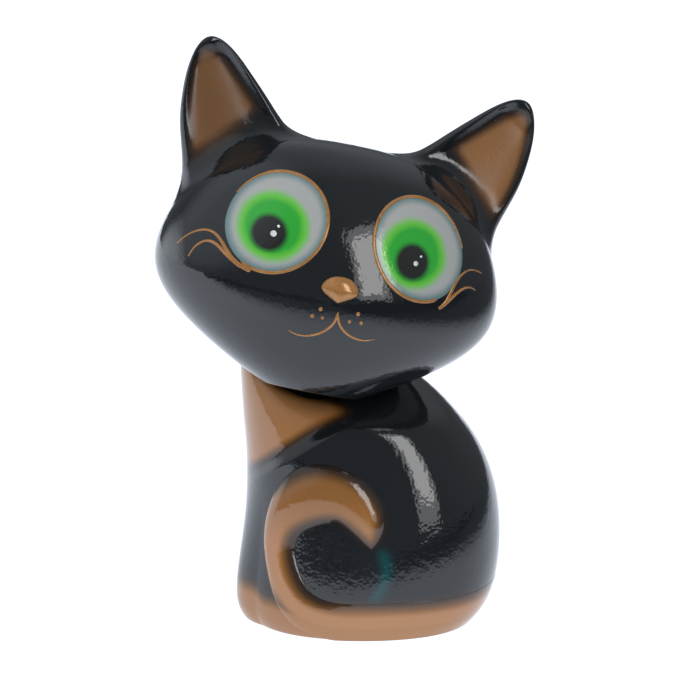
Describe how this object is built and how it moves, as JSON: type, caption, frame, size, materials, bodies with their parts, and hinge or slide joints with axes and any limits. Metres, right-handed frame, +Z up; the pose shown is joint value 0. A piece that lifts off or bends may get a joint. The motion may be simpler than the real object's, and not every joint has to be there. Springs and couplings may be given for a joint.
{
  "type": "ceramic cat figurine",
  "caption": "Glossy ceramic cat figurine, seated side-on with its head tilted to face the viewer, large painted eyes and a tail curled round the foot.",
  "frame": {"origin": "centre of the foot, on the surface the figurine stands on", "axes": "+Z up, -Y the way the face looks, -X the way the cat's chest points"},
  "size_m": [0.1557, 0.1195, 0.2413],
  "materials": {
    "black_glaze": "high gloss lacquered glaze with a fine orange peel",
    "tan_glaze": "airbrushed bronze tan under gloss glaze, fading to black at its edges",
    "eye_enamel": "airbrushed white, green and black under gloss glaze",
    "bronze_paint": "bronze paint under gloss glaze",
    "raw_clay": "matt unglazed clay"
  },
  "bodies": {
    "root": {"torso_shell": "black_glaze", "floor_plate": "raw_clay", "foreleg_left": "black_glaze", "foreleg_right": "black_glaze", "tail": "tan_glaze", "head_shell": "black_glaze", "ear_left": "black_glaze", "ear_right": "black_glaze", "eye_left": "eye_enamel", "eye_right": "eye_enamel", "nose": "bronze_paint"}
  },
  "joints": []
}
